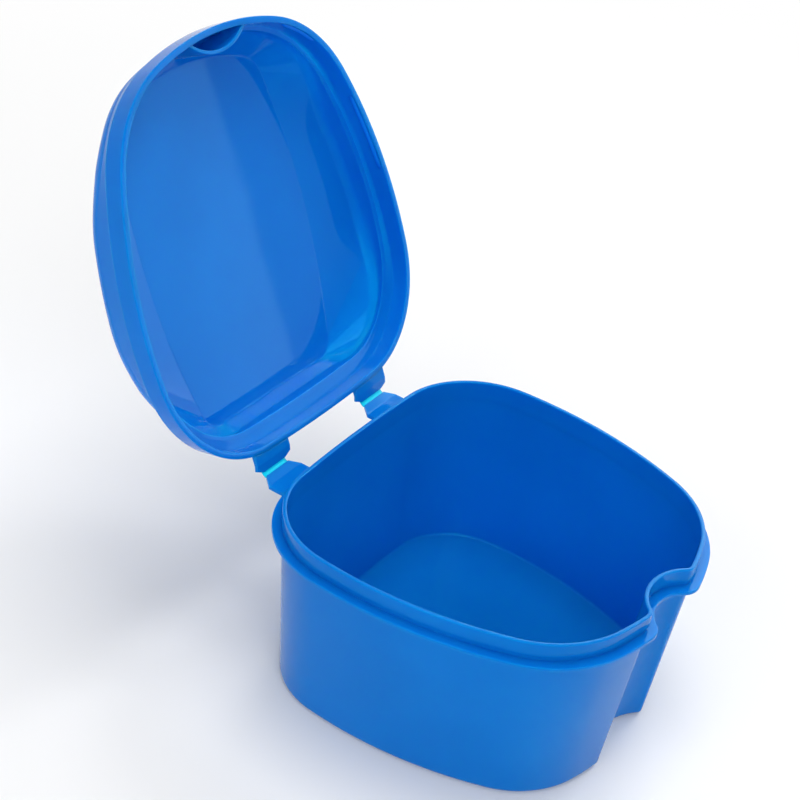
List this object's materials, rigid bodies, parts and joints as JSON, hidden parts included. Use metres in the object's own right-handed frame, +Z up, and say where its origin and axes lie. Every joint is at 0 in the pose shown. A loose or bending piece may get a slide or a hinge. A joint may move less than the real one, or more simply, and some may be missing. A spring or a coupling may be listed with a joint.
{
  "type": "denture case",
  "caption": "Moulded plastic denture bath: a deep tub with a full-height thumb notch and a low domed lid, joined at the back by two straps with living hinges.",
  "frame": {"origin": "middle of the tub's foot, on the plane that it stands on", "axes": "+Z up, +Y towards the hinges, +X to the right as seen from the thumb notch"},
  "size_m": [0.0968, 0.1498, 0.1356],
  "materials": {
    "case_plastic": "polished moulded polypropylene, slightly translucent",
    "film_plastic": "thin moulded polypropylene that light comes through"
  },
  "bodies": {
    "base": {"base_tub": "case_plastic", "base_strap_left": "case_plastic", "base_strap_right": "case_plastic", "hinge_film_left": "film_plastic", "hinge_film_right": "film_plastic"},
    "lid": {"lid_shell": "case_plastic", "thumb_rib": "case_plastic", "snap_ribs": "case_plastic", "lid_strap_left": "case_plastic", "lid_strap_right": "case_plastic"}
  },
  "joints": [
    {"name": "lid_hinge", "type": "hinge", "parent": "base", "child": "lid", "pos_m": [0, 0.052, 0.04448], "axis": [1, 0, 0], "range_deg": [-65, 115], "deforming": ["hinge_film_left", "hinge_film_right"]}
  ]
}
